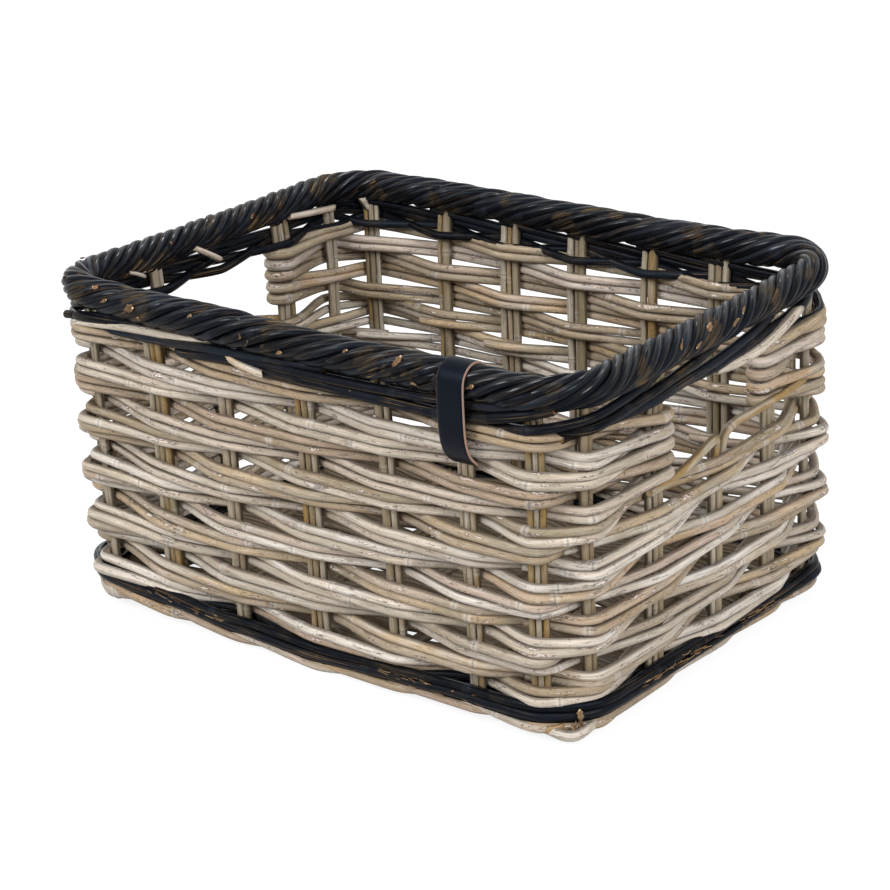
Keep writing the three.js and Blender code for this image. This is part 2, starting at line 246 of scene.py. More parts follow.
class Bundle:
    """Rods gathered into one mesh, each with its own tint and seed for the materials."""

    def __init__(self):
        self.points, self.corners, self.starts, self.uvs = [], [], [], []
        self.face_values = {"cut": [], "tint": [], "seed": []}
        self.point_values = {"knuckle": [], "up": []}
        self.point_count = 0
        self.corner_count = 0

    def add_faces(self, faces, uv, cut, tint, seed):
        """Adds faces of equal corner count, whose corners are counted from the last tube's end."""
        count, size = faces.shape
        self.corners.append(faces.ravel() + self.point_count)
        self.starts.append(self.corner_count + size * np.arange(count))
        self.uvs.append(uv.reshape(-1, 2))
        for name, value in (("cut", float(cut)), ("tint", tint), ("seed", seed)):
            self.face_values[name].append(np.full(count, value))
        self.corner_count += faces.size

    def tube(self, path, radii, places, lift, tint, seed, closed=False, sides=12, flat=1.0, knuckle=None,
             slants=(0, 0)):
        """A tube: at each point of the path a ring of the given radius stands square to the path, its angle
        counted from the side that faces lift. Free ends are closed by a slanting cut."""
        rings = len(path)
        if closed:
            tangent = unit(np.roll(path, -1, 0) - np.roll(path, 1, 0))
        else:
            tangent = unit(np.gradient(path, axis=0))
        across = unit(np.cross(tangent, np.broadcast_to(lift, path.shape)))
        top = np.cross(across, tangent)
        turn = 2 * np.pi * np.arange(sides) / sides
        ring = np.stack([np.cos(turn), np.sin(turn)], 1)
        spoke = ring[None, :, :1] * top[:, None] * flat + ring[None, :, 1:] * across[:, None]
        grid = path[:, None] + radii[:, None, None] * spoke
        if not closed:
            for end, slant in zip((0, -1), slants):
                grid[end] += tangent[end] * (slant * np.cos(turn + seed))[:, None] * radii[end]
        last = rings if closed else rings - 1
        faces, i, j = grid_faces(rings, sides, last)
        along = np.append(places, 2 * places[-1] - places[-2]) if closed else places
        u0, u1, v0, v1 = along[i] * UV_PER_MM, along[i + 1] * UV_PER_MM, j / sides, (j + 1) / sides
        uv = np.stack([np.stack(corner, 1) for corner in ((u0, v0), (u0, v1), (u1, v1), (u1, v0))], 1)
        self.add_faces(faces, uv, False, tint, seed)
        if not closed:
            self.add_faces(np.arange(sides)[::-1][None], ring[::-1][None], True, tint, seed)
            self.add_faces((last * sides + np.arange(sides))[None], ring[None], True, tint, seed)
        self.points.append(grid.reshape(-1, 3))
        if knuckle is None:
            knuckle = np.full(rings, KNUCKLE_REACH)
        self.point_values["knuckle"].append(np.repeat(knuckle, sides))
        self.point_values["up"].append(spoke[..., 2].ravel())
        self.point_count += rings * sides

    def piece(self, name, material, slot, *nodes):
        """Writes the mesh, in metres, and makes it stand for its solids."""
        mesh = bpy.data.meshes.new(name)
        points = settle(np.concatenate(self.points)) * METRES_PER_MM
        corners = np.concatenate(self.corners)
        starts = np.concatenate(self.starts)
        mesh.vertices.add(len(points))
        mesh.vertices.foreach_set("co", points.astype(np.float32).ravel())
        mesh.loops.add(len(corners))
        mesh.loops.foreach_set("vertex_index", corners.astype(np.int32))
        mesh.polygons.add(len(starts))
        mesh.polygons.foreach_set("loop_start", starts.astype(np.int32))
        mesh.update(calc_edges=True)
        mesh.polygons.foreach_set("use_smooth", np.concatenate(self.face_values["cut"]) < 0.5)
        uv = mesh.uv_layers.new(name="along_and_round")
        uv.uv.foreach_set("vector", np.concatenate(self.uvs).astype(np.float32).ravel())
        for domain, values in (("FACE", self.face_values), ("POINT", self.point_values)):
            for label, parts in values.items():
                data = mesh.attributes.new(label, "FLOAT", domain).data
                data.foreach_set("value", np.concatenate(parts).astype(np.float32))
        mesh.validate()
        mesh.materials.append(material)
        show(bpy.data.objects.new(name, mesh), slot, *nodes)


def show(piece, slot, *nodes):
    """Links a finished piece, and makes it ride on the basket and stand for its solids."""
    bpy.context.scene.collection.objects.link(piece)
    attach(piece, "root")
    if nodes:
        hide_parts(*nodes)


def lay_rod(bundle, polygon, radius, source, lift=UP, closed=False, sides=12, step=3.2, tint=None,
            knuckle_gap=(110, 260), slants=(0.5, 0.5), rough=0.035):
    """One rod along a rounded polygon: its radius ripples a little, swells and is grooved at each knuckle by
    bell curves of the distance to it, and narrows at its cut ends. A fourth number at the polygon's points
    makes it thicker or thinner there."""
    curve, lengths = eased(polygon, closed)
    length = lengths[-1]
    places = np.linspace(0, length, max(4, int(length / step)), endpoint=not closed)
    gaps = source.uniform(*knuckle_gap, int(length / knuckle_gap[0]) + 2)
    knots = np.cumsum(gaps) - gaps[0] * source.uniform()
    knots = knots[(knots > KNUCKLE_MARGIN) & (knots < length - KNUCKLE_MARGIN)]
    extra = (knots[:, None] + KNUCKLE_RINGS).ravel()
    if not closed:
        extra = np.append(extra, [END_STEP, length - END_STEP])
    if len(extra):
        crowded = np.abs(places[:, None] - extra).min(1) < 0.5
        crowded[[0, -1]] = False
        places = np.sort(np.concatenate([places[~crowded], extra]))
    distance = np.abs(places[:, None] - np.append(knots, -np.inf)).min(1)
    path = read_curve(places, curve, lengths)
    radii = radius * (1 + rough * ripple(places, 140, source))
    radii += KNUCKLE_RIDGE * bell(distance, 0, KNUCKLE_RIDGE_WIDTH)
    radii -= KNUCKLE_GROOVE * bell(distance, 0, KNUCKLE_GROOVE_WIDTH)
    if path.shape[1] == 4:
        radii *= path[:, 3]
    if not closed:
        radii[[0, -1]] *= END_NARROWING
    knuckle = np.minimum(distance, KNUCKLE_REACH)
    bundle.tube(path[:, :3], radii, places, lift, source.uniform() if tint is None else tint,
                source.uniform(0, 50), closed, sides, knuckle=knuckle, slants=slants)


def colour(code):
    """Scene colour of a six-digit screen colour."""
    channels = [int(code[i:i + 2], 16) / 255 for i in (0, 2, 4)]
    return [c / 12.92 if c < 0.04045 else ((c + 0.055) / 1.055) ** 2.4 for c in channels] + [1.0]


class Value:
    """A number or colour that changes over a surface. Sums and products of numbers add math nodes."""

    def __init__(self, tree, socket):
        self.tree = tree
        self.socket = socket

    def __add__(self, other):
        return self.tree.math("ADD", self, other)

    def __sub__(self, other):
        return self.tree.math("SUBTRACT", self, other)

    def __rsub__(self, other):
        return self.tree.math("SUBTRACT", other, self)

    def __mul__(self, other):
        return self.tree.math("MULTIPLY", self, other)


class Tree:
    """Short ways to add and join the nodes of one node tree."""

    def __init__(self, tree):
        self.tree = tree

    def add(self, kind, inputs=None, **settings):
        """Adds a node with these settings, and sets or joins its inputs."""
        node = self.tree.nodes.new(kind)
        for key, value in settings.items():
            setattr(node, key, value)
        return self.fill(node, inputs or {})

    def fill(self, node, inputs):
        """Joins each input that has a changing value, and sets the others."""
        for key, value in inputs.items():
            if isinstance(value, Value):
                self.tree.links.new(value.socket, node.inputs[key])
            else:
                node.inputs[key].default_value = value
        return node

    def read(self, node, output=0):
        """The value that a node gives."""
        return Value(self, node.outputs[output])

    def math(self, operation, a, b=0.0):
        """One step of arithmetic on one or two values."""
        return self.read(self.add("ShaderNodeMath", {0: a, 1: b}, operation=operation))

    def ramp(self, value, low, high):
        """0 below low, 1 above high, and a smooth step between them."""
        inputs = {"Value": value, "From Min": low, "From Max": high}
        return self.read(self.add("ShaderNodeMapRange", inputs, interpolation_type="SMOOTHSTEP"), "Result")

    def mix(self, factor, a, b):
        """The colour that lies between a and b by the factor."""
        node = self.add("ShaderNodeMix", data_type="RGBA")
        enabled = [i for i, socket in enumerate(node.inputs) if socket.enabled]
        self.fill(node, dict(zip(enabled, (factor, a, b))))
        return Value(self, next(socket for socket in node.outputs if socket.enabled))

    def attribute(self, name):
        """A value that the mesh keeps for each of its points or faces."""
        node = self.add("ShaderNodeAttribute", attribute_type="GEOMETRY", attribute_name=name)
        return self.read(node, "Fac")

    def place(self):
        """The point in the object's own space."""
        return self.read(self.add("ShaderNodeTexCoord"), "Object")


# The cane's colours, and what its other values are where a finish doesn't give them.
CANE_COLOURS = ("Pale", "Deep", "Warm", "Raw", "Dark", "White", "Cut", "Olive")
CANE_VALUES = dict(Warmth=0.5, Peeling=0.3, Streaks=0.5, Scratches=0.0, Grime=0.6, Rings=0.35, Variety=1.0,
                   Wear=0.0, Side=0.0, Roughness=0.6)


def cane_group():
    """Skin of a cane rod. It is read by the length along the rod and a circle round it, so that a noise
    stretched along the first makes streaks, and one that is even makes specks."""
    group = bpy.data.node_groups.new("cane skin", "ShaderNodeTree")
    sockets = [(name, "INPUT", "NodeSocketColor") for name in CANE_COLOURS]
    sockets += [(name, "INPUT", "NodeSocketFloat") for name in CANE_VALUES]
    sockets += [("Color", "OUTPUT", "NodeSocketColor")]
    sockets += [(name, "OUTPUT", "NodeSocketFloat") for name in ("Roughness", "Gloss", "Height")]
    for name, way, kind in sockets:
        group.interface.new_socket(name=name, in_out=way, socket_type=kind)
    t = Tree(group)
    given = {socket.name: Value(t, socket) for socket in t.add("NodeGroupInput").outputs}
    uv = t.read(t.add("ShaderNodeUVMap", uv_map="along_and_round"))
    split = t.add("ShaderNodeSeparateXYZ", {0: uv})
    first, second = t.read(split, "X"), t.read(split, "Y")
    along = first * (1 / UV_PER_MM)
    turn = second * (2 * math.pi)
    # Cosine and sine of the angle round the rod. The cosine is 1 on the side that the ring is counted from.
    upward, sideways = t.math("COSINE", turn), t.math("SINE", turn)
    seed, tint, cut, knuckle = (t.attribute(name) for name in ("seed", "tint", "cut", "knuckle"))

    def pattern(per_mm, around, shift, detail, roughness=0.5):
        """A noise on the skin, with so many waves per millimetre along the rod and so many around it."""
        skin = t.add("ShaderNodeCombineXYZ", {0: along * per_mm, 1: upward * around, 2: sideways * around})
        inputs = {"Vector": t.read(skin), "W": seed + shift, "Scale": 1.0, "Detail": detail,
                  "Roughness": roughness}
        return t.read(t.add("ShaderNodeTexNoise", inputs, noise_dimensions="4D"), "Fac")

    def redrawn(factor, low, high):
        """Turns each rod's tint into another draw, and steps it between low and high."""
        return t.ramp(t.math("FRACT", tint * factor), low, high)

    def paint(amount, tone):
        """Covers the colour so far with a tone, by the amount."""
        nonlocal base
        base = t.mix(amount, base, tone)

    streak = pattern(0.035, 3.2, 0.0, 3.0, 0.6)
    fine = pattern(0.11, 10.0, 0.0, 3.0, 0.65)
    thread = pattern(0.012, 5.0, 11.0, 3.0, 0.6)
    fibre = pattern(0.03, 11.0, 21.0, 2.0, 0.6)
    blotch = pattern(0.018, 0.5, 0.0, 2.0)
    patch = pattern(0.05, 1.0, 7.0, 4.0, 0.65)
    speck = pattern(0.75, 2.6, 0.0, 1.0)
    zone = pattern(0.03, 0.4, 3.0, 1.0)

    # Each rod's own tone, and streaks along it.
    base = t.mix(t.ramp(tint * 0.7 + blotch * 0.6, 0.2, 0.95), given["Deep"], given["Pale"])
    paint(redrawn(7.31, 0.45, 0.8) * t.ramp(zone, 0.32, 0.58) * given["Warmth"], given["Warm"])
    paint(redrawn(13.7, 0.65, 0.95) * 0.5, given["White"])
    paint(redrawn(19.3, 0.55, 0.9) * t.ramp(blotch, 0.35, 0.6) * (given["Variety"] * 0.5), given["Raw"])
    paint(redrawn(29.9, 0.5, 0.9) * t.ramp(zone, 0.6, 0.4) * (given["Variety"] * 0.45), given["Olive"])
    paint(t.ramp(streak, 0.6, 0.38) * given["Streaks"], given["Deep"])
    paint(t.ramp(fine, 0.5, 0.7) * 0.38, given["White"])
    paint(t.ramp(fine, 0.47, 0.3) * 0.4, given["Dark"])

    # Peeled places with a dark rim and marks in them, scratches, and dark spots.
    limit = 0.78 - given["Peeling"] * 0.3
    peeled = t.ramp(patch, limit, limit + 0.02)
    paint(peeled, t.mix(t.ramp(fine, 0.35, 0.65), given["Raw"], given["White"]))
    paint((t.ramp(patch, limit - 0.03, limit) - peeled) * 0.75, given["Dark"])
    paint(peeled * t.ramp(speck, 0.52, 0.6) * 0.7, given["Dark"])
    scratch = t.ramp(thread, 0.58, 0.64) * t.ramp(zone, 0.42, 0.55) * given["Scratches"]
    paint(scratch, given["Raw"])
    spots = t.ramp(speck, 0.64, 0.72) * t.ramp(zone, 0.42, 0.58)
    paint(spots * 0.8, given["Dark"])

    # Worn places are read from the object's own space, so that neighbouring rods are rubbed bare together.
    rubbed = t.read(t.add("ShaderNodeTexNoise", {"Vector": t.place(), "Scale": 38.0, "Detail": 3.0}), "Fac")
    worn = t.ramp(rubbed, 0.53, 0.62) * given["Wear"]
    bared = worn * t.ramp(fibre, 0.48, 0.56)
    paint(bared, given["Olive"])
    paint(worn * t.ramp(fibre, 0.6, 0.65), given["Raw"])
    paint(worn * t.ramp(thread, 0.62, 0.66), given["Cut"])

    # Painted shade: darker where a rod touches its neighbours, above and below, or at both sides of a stake's
    # rods, and on its underside, the side away from its lift.
    touch = t.math("ABSOLUTE", upward) * (1.0 - given["Side"]) + t.math("ABSOLUTE", sideways) * given["Side"]
    touch = touch + (streak - 0.5) * 0.35
    underside_shade = t.ramp(upward, -0.1, -1.0) * (0.5 - given["Side"])
    paint((t.ramp(touch, 0.74, 1.0) * 0.8 + t.math("MAXIMUM", underside_shade, 0.0)) * given["Grime"], given["Dark"])

    # Knuckles: a pale collar, a stain beside some, and a dark ring in the groove. Then the cut ends.
    away = knuckle + (fine - 0.5) * 0.9
    ring = t.ramp(away, 0.8, 0.3) * t.ramp(streak, 0.34, 0.46)
    paint(t.ramp(away, 4.2, 1.2) * (given["Rings"] * 0.7), given["White"])
    stain = t.ramp(away, 8.0, 2.0) * t.ramp(patch, 0.5, 0.58)
    paint(stain * (given["Rings"] * given["Variety"]), given["Dark"])
    paint(ring * given["Rings"], given["Dark"])
    radial = t.math("SQRT", first * first + second * second)
    paint(cut, t.mix(t.ramp(radial, 0.75, 1.0), given["Cut"], given["Deep"]))

    bare = t.math("MAXIMUM", t.math("MAXIMUM", t.math("MAXIMUM", peeled, cut), scratch), bared)
    # Gloss weighs the coat: a narrow ridge on the side the ring is counted from, more where the surface faces
    # up, as a painted highlight line that leaves the grooves dark. Bare places get none.
    facing = t.ramp(upward + (streak - 0.5) * 0.7, 0.86, 1.07)
    upward_sheen = t.ramp(t.attribute("up"), 0.1, 0.85) * 0.8 + 0.2
    t.add("NodeGroupOutput", {
        "Color": base,
        "Roughness": given["Roughness"] + (fine - 0.5) * 0.25 + bare * 0.25,
        "Gloss": facing * upward_sheen * (1.0 - bare),
        "Height": streak * 0.35 + fine * 0.35 - peeled * 0.4 - spots * 0.35 - ring * 0.8,
    })
    return group


CANE = cane_group()


def start_material(name):
    """A new material, short ways to add to its nodes, and its surface shader."""
    material = bpy.data.materials.new(name)
    material.use_nodes = True
    return material, Tree(material.node_tree), material.node_tree.nodes["Principled BSDF"]


def cane_material(name, specular=0.5, coat=0.0, bump=0.5, sheen_tint=(1.0, 1.0, 1.0, 1.0), cut="d6bd9a",
                  olive="6f6448", **look):
    """A cane finish: the shared skin with this finish's own colours feeds the surface shader. A coat lies
    on the rods' outer ridges, strongest where they face up, as a painted highlight."""
    material, t, shader = start_material(name)
    values = {**CANE_VALUES, "Cut": cut, "Olive": olive}
    values.update((key.title(), value) for key, value in look.items())
    values = {key: colour(value) if isinstance(value, str) else value for key, value in values.items()}
    skin = t.add("ShaderNodeGroup", node_tree=CANE)
    t.fill(skin, values)
    height = t.read(skin, "Height")
    lump = t.add("ShaderNodeBump", {"Strength": bump, "Distance": 0.0006, "Height": height})
    t.fill(shader, {
        "Specular IOR Level": specular, "Specular Tint": sheen_tint,
        "Coat Roughness": 0.18, "Coat Tint": (0.78, 0.88, 1.0, 1.0),
        "Base Color": t.read(skin, "Color"), "Roughness": t.read(skin, "Roughness"), "Normal": t.read(lump),
    })
    if coat:
        t.fill(shader, {"Coat Weight": t.read(skin, "Gloss") * coat})
    return material


# Each finish below sets how strong the painted shade is where rods touch and on their undersides.
GREY = cane_material("greyed cane", specular=0.22, pale="dbd3c8", deep="907f67", warm="b6996d", raw="b99680",
                     white="ebe7e2", dark="32261b", olive="877b5d", peeling=0.58, streaks=0.5, scratches=0.5,
                     warmth=0.8, grime=0.75, roughness=0.58)
STAKE = cane_material("stake cane", specular=0.2, pale="b5ab9a", deep="857458", warm="94702c", raw="8d6f4c",
                      white="cdc6ba", dark="2c2216", olive="76704f", peeling=0.3, streaks=0.6, warmth=0.9,
                      grime=0.85, side=1.0, roughness=0.62)
# The base's cane is the grey cane made darker, as painted shade for the basket's inside seen through the
# weave.
BASE = cane_material("shaded cane", specular=0.15, pale="8f826f", deep="5a4d3c", warm="6b5636", raw="6a5440",
                     white="9a8e7e", dark="1e1710", olive="575039", peeling=0.3, warmth=0.6, grime=0.8,
                     roughness=0.7)
BLACK_LOOK = dict(specular=0.05, coat=1.0, bump=0.3, sheen_tint=(0.7, 0.84, 1.0, 1.0), pale="181b22",
                  deep="08090c", warm="0e0b0a", raw="a5845c", white="2b313a", dark="020203", cut="7a5e40",
                  olive="4a4030", peeling=0.3, streaks=0.4, scratches=0.3, warmth=0.4, grime=0.8, rings=0.5,
                  variety=0.0, roughness=0.3)
BLACK = cane_material("black stained cane", wear=0.9, **BLACK_LOOK)
SOUND_BLACK = cane_material("black stained cane, little worn", wear=0.25, **BLACK_LOOK)
CORE = cane_material("rope core", specular=0.1, pale="121316", deep="08080a", warm="0e0c0a", raw="14100d",
                     white="15161a", dark="030303", cut="5a4630", peeling=0.1, variety=0.0, roughness=0.6)
BARK = cane_material("loose bark", specular=0.2, pale="c0a27a", deep="503a22", warm="8c6238", raw="a07658",
                     white="c4ab88", dark="2c1d12", olive="55452c", peeling=0.2, streaks=0.8, warmth=0.8,
                     grime=0.4, rings=0.0, roughness=0.75)


def leather_material():
    """Dark leather: a fine grain raised by the distance to scattered points, a slow change of colour and
    dullness, and raw pinkish brown on the faces marked as cut edge."""
    material, t, shader = start_material("strap leather")
    place = t.place()
    grain = t.add("ShaderNodeTexVoronoi", {"Vector": place, "Scale": 1100.0}, feature="SMOOTH_F1")
    cloud = t.read(t.add("ShaderNodeTexNoise", {"Vector": place, "Scale": 90.0}), "Fac")
    edge = t.attribute("edge")
    raised = {"Strength": 0.25, "Distance": 0.0003, "Height": t.read(grain, "Distance")}
    t.fill(shader, {
        "Base Color": t.mix(edge, t.mix(cloud, colour("04060c"), colour("090d17")), colour("9c7f71")),
        "Roughness": cloud * 0.15 + edge * 0.4 + 0.34,
        "Specular IOR Level": 0.09,
        "Specular Tint": (0.6, 0.78, 1.0, 1.0),
        "Normal": t.read(t.add("ShaderNodeBump", raised)),
    })
    return material


def round_points(level, lane, source):
    """Polygon of one rod of a round, two corners at each stake: inside every third stake and outside the
    rest, and half a rod above or below the pair's middle. The rod next to a stake's open stretch hugs the
    stake, and the others lie further out. The pair's tilt wanders slowly."""
    points = []
    tilts = 0.45 * ripple(np.arange(len(STAKES)) * 72.0, 400, draws("tilt", level))
    for stake, tilt in zip(STAKES, tilts):
        if passes_inside(level, stake):
            out, lift = -WEAVE_OFFSET, INSIDE_RISE
        elif passes_inside(level + lane, stake):
            out, lift = WEAVE_OFFSET - 0.5 + 0.2 * stake.bulge, OUTSIDE_RISE
        else:
            out, lift = WEAVE_OFFSET + 0.7 + stake.bulge, OUTSIDE_RISE
        if level == 2 and stake.number in NEAR_CORNER:
            lift += NEAR_CORNER_RISE
        z = round_height(level) + lift + lane * ROD / 2 * math.cos(tilt) + source.normal(0, 0.35)
        out += lane * ROD / 2 * math.sin(tilt) + source.normal(0, 0.3)
        shoulder = stake.rods * 2.5 + 1.5
        points += [at_stake(stake, z, -shoulder, out), at_stake(stake, z, shoulder, out)]
    return points


def span(points, start, end):
    """Part of a round from behind one stake to behind another, or once round. Its beginning hugs the stake,
    and its tail lies inward of the next rod's beginning."""
    count = (end - start) % len(STAKES) or len(STAKES)
    ordered = [p for i in range(count) for p in points[2 * ((start + i) % len(STAKES)):][:2]]
    along, outward = heading(STAKES[start].turn)
    tail_along, tail_out = heading(STAKES[end].turn)
    tail = [points[2 * end] - tail_out * ROD, points[2 * end + 1] - tail_out * ROD + tail_along * 5]
    return [ordered[0] - along * 6 - outward * 1.5, *ordered, *tail]


def make_round(name, level):
    """A round: each lane is laid with one to three rods, spliced behind stakes that it passes inside."""
    source = draws("round", level)
    bundle = Bundle()
    inner = [i for i, stake in enumerate(STAKES) if passes_inside(level, stake)]
    for lane in (1, -1):
        points = round_points(level, lane, source)
        splices = np.sort(source.choice(inner, source.integers(1, 4), replace=False))
        for start, end in zip(splices, np.roll(splices, -1)):
            lay_rod(bundle, span(points, start, end), ROD / 2 * source.uniform(0.96, 1.18), source)
    bundle.piece(name, GREY, "grey_rattan", name)


FOOT_SHOULDERS = (-8, 8)
# How far the foot hangs in the front's middle, and how far the rod at the near corner sticks out from the
# middle of the corner's curve, along both walls.
FOOT_HANG = 6.5
TIP_REACH = 43
# Where the right wall's foot and black round are slimmer, their rods have this share of their thickness.
SLIM = 0.8
# Each foot strand's distance from the stakes and height, at one stake after another.
STRAND_PLACES = ((-6.2, 5.0), (6.4, 5.6), (7.9, 3.3))
# Height, distance beyond the weave's and radius of the black round's plain rods.
BLACK_RODS = ((16.6, 0.4, 3.4), (11.2, 1.5, 3.3), (14.5, -2.5, 3.4), (8.0, -1.0, 3.2))


def foot_places(stake, height, out, source, thickness=1.0):
    """Two points of the foot beside a stake. It hangs in the front's middle, as a bell curve along X. The
    fourth number is the rod's thickness there."""
    height -= FOOT_HANG * bell(stake.slide, -2, 92) if stake.side == 0 and not stake.corner else 0.0
    return [[*at_stake(stake, height + source.normal(0, 0.3), side, out + source.normal(0, 0.3)), thickness]
            for side in FOOT_SHOULDERS]


def make_foot_strands():
    """The foot: three grey rods, each outside two stakes and inside the third, one stake behind one another,
    so that everywhere one rides high, one low and one inside. A short rod sticks out at the near corner."""
    source = draws("foot")
    bundle = Bundle()
    for rod in range(3):
        points = []
        for stake in STAKES:
            out, z = STRAND_PLACES[(stake.number + rod) % 3]
            slim = out > 0 and stake.number in RIGHT_STAKES
            near = out > 0 and stake.number in NEAR_CORNER
            out += 0.5 * stake.bulge * (out > 0) + 1.5 * near
            z -= 1.5 * (slim or near)
            points += foot_places(stake, z, out, source, SLIM if slim else 1.0)
        lay_rod(bundle, points, 3.1, source, closed=True)
    along, deep = stake_line(0)
    tip = np.array([along - CORNER_RADIUS + TIP_REACH, CORNER_RADIUS - deep - TIP_REACH, -0.5])
    before, after = (STAKES[number - 1] for number in NEAR_CORNER)
    lay_rod(bundle, [at_stake(before, 3, -10, 5), at_stake(before, 3, 0, 6.5), tip,
                     at_stake(after, 3, 0, 6.5), at_stake(after, 3, 10, 5)], 3.6, source, tint=0.6)
    bundle.piece("foot_strands", GREY, "grey_rattan")


def make_black_round():
    """The black round: four plain rods outside all stakes, a thinner one that weaves, and one inside."""
    source = draws("black_round")
    bundle = Bundle()
    for height, away, radius in BLACK_RODS:
        points = []
        for stake in STAKES:
            slim = stake.number in RIGHT_STAKES and away > 0
            out = WEAVE_OFFSET + away + 0.4 * stake.bulge + 1.5 * (stake.number in NEAR_CORNER)
            points += foot_places(stake, height - 3.2 * slim, out, source, SLIM if slim else 1.0)
        lay_rod(bundle, points, radius, source, closed=True, rough=0.08)
    points = []
    for stake in STAKES:
        z, out = (18.5, -WEAVE_OFFSET) if passes_inside(2, stake) else (14.5, 5.5)
        points += foot_places(stake, z, out, source)
    lay_rod(bundle, points, 3.0, source, closed=True)
    points = [at_stake(stake, 10.0, side, -WEAVE_OFFSET) for stake in STAKES for side in FOOT_SHOULDERS]
    lay_rod(bundle, points, 3.1, source, closed=True)
    bundle.piece("black_foot_round", SOUND_BLACK, "black_rattan", "black_foot_round")


# Heights at which a rod of the wales begins and ends. Rods that begin at the low places lie lower.
BORDER_HEIGHTS, LOW_HEIGHTS = (205.5, 219.5), (202.0, 218.0)
LOW_STARTS = (7, 8, 10)


def border_rod(start, source):
    """Polygon of one rod of the wales: it begins inside stake start, or outside the one before where the
    wall is seen from within, comes out, climbs outside the next two stakes and slips in under the rope."""
    first, last = LOW_HEIGHTS if start in LOW_STARTS else BORDER_HEIGHTS
    before, begin, *passed, end = (STAKES[(start + i) % len(STAKES)] for i in range(-1, 4))
    if begin.side >= 2:
        points = [at_stake(before, first + 5, -6, 6.0), at_stake(before, first + 3, 12, 6.5)]
    else:
        points = [at_stake(begin, first - 0.5, -16, -4.0)]
    points += [at_stake(begin, first, -6, -6.8), at_stake(begin, first, 6, -6.5)]
    for share, stake in zip((0.8, 1.8), passed):
        z = first + (last - first) * share / 2.7 + source.normal(0, 0.7)
        out = 7.5 + source.normal(0, 0.5) + 0.5 * stake.bulge
        points += [at_stake(stake, z - 1, -8, out), at_stake(stake, z + 1, 8, out)]
    return points + [at_stake(end, last, -10, 5.5), at_stake(end, last + 4, 8, 1.0)]


# Places in the list of stakes where no such rod begins, because rods are laid there one by one: along the
# front, and an unstained one on the right wall.
PLACED_STARTS = (23, 0, 1, 2, 3, 4, 9)
SQUARE_CUT, PLAIN_CUT = (0, 0), (0.5, 0.5)
# The front's own rods, by wale: radius, how much the two ends are slanted, and points for on_front.
FRONT_RODS = {
    "upper_black_wale": (
        (3.3, SQUARE_CUT, ((-211, 6, 213.5), (-200, 7.5, 215), (-166, 7, 221), (-150, 5, 224))),
        (3.5, (2.5, 0), ((-166, 7, 211), (-129, 8.5, 213.2), (-98, 9, 216), (-60, 9, 218.5), (-22, 8.5, 220),
                         (30, 6, 223))),
        (4.1, (1, 0.5), ((-100, -6.5, 210), (-52, 0, 211), (-40, 9, 211.5), (-11, 9.6, 212.2),
                         (39, 9.8, 211.8), (95, 9.8, 210.5), (125, 9.8, 210.2), (149, 9.6, 211.3),
                         (176, 9.5, 216.5), (198, 6, 221.5), (210, -2, 225))),
        (3.3, (1.5, 1), ((146, 6, 219), (160, 9, 220.5), (178, 9, 223.5), (202, 4, 229))),
        (3.2, PLAIN_CUT, ((150, 2, 221.5), (176, 5, 226), (204, 1, 231))),
        (3.5, PLAIN_CUT, ((-80, -6.5, 206.5), (10, -6.8, 206), (110, -6.5, 207), (180, -6.5, 206))),
    ),
    "lower_black_wale": (
        (3.5, (1, 1), ((-112, -6, 207), (-104, 7.5, 208), (-80, 9.2, 211.5), (-45, 9.5, 215.5),
                       (-10, 9.5, 217.8), (54, 9.4, 217.4), (96, 9.2, 217.8), (125, 9, 218.5),
                       (160, 6, 222))),
        (3.5, PLAIN_CUT, ((20, -6.8, 213.5), (110, -6.8, 213.5), (185, -6.5, 212))),
        (3.5, PLAIN_CUT, ((-60, -6.8, 213.5), (-10, -6.8, 213), (20, -6.8, 214))),
    ),
}
# The unstained rods: wall, radius, slants, tint and points. The rosy tint's draws in the cane's skin make a
# rod rosy and neither warm, white nor mossy.
ROSY_TINT = 0.982
UNSTAINED_RODS = (
    (on_front, 3.3, PLAIN_CUT, 0.9, ((-205, 5, 208), (-194, 8, 211), (-142, 8.5, 218), (-90, 7.5, 219.6),
                                     (-70, 4, 223))),
    (on_front, 2.8, (0.5, 1.0), 0.95, ((-66, 6, 217.5), (-48, 11, 215), (-34, 13.4, 213),
                                       (-19, 13.8, 211.6))),
    (on_right, 3.9, (0.3, 1.5), 0.8, ((6, 4, 204), (22, 7, 202), (54, 10, 205), (80, 11.5, 212),
                                      (98, 12, 218.5))),
    (on_left, 2.4, (0.5, 1.2), ROSY_TINT, ((-27, -6, 229.5), (-15, -9, 222), (-4, -8.5, 215))),
    (on_left, 1.7, (0.5, 1.2), ROSY_TINT, ((-95, -5, 228), (-88, -6, 225.5), (-80, -6, 221))),
    (on_left, 2.8, (0.5, 1.2), ROSY_TINT, ((80, -6, 226), (104, -7, 223), (131, -7.5, 220.4))),
    (on_left, 3.2, (0.5, 1.2), ROSY_TINT, ((150, -20, 226), (154, -21, 220), (158, -21, 213))),
)


def make_wales():
    """Wales: a rod comes out behind every stake and climbs under the rope, so that two or three lie above
    one another. At the front long ones lie close together, and the left corner has a stub and a torn end.
    Single unstained rods lie on them, and broken ones stick out inside the left rim."""
    for name, odd in (("upper_black_wale", 1), ("lower_black_wale", 0)):
        source = draws("wale", odd)
        bundle = Bundle()
        for start in range(odd, len(STAKES), 2):
            if start not in PLACED_STARTS:
                points = border_rod(start, source)
                lay_rod(bundle, points, source.uniform(3.1, 3.7), source, slants=(1.0, 1.0))
        for radius, slants, points in FRONT_RODS[name]:
            lay_rod(bundle, [on_front(*p) for p in points], radius, source, slants=slants)
        bundle.piece(name, SOUND_BLACK, "black_rattan", name)
    source = draws("unstained")
    bundle = Bundle()
    for wall, radius, slants, tint, points in UNSTAINED_RODS:
        lay_rod(bundle, [wall(*p) for p in points], radius, source, tint=tint, slants=slants)
    bundle.piece("unstained_border_rods", GREY, "grey_rattan")


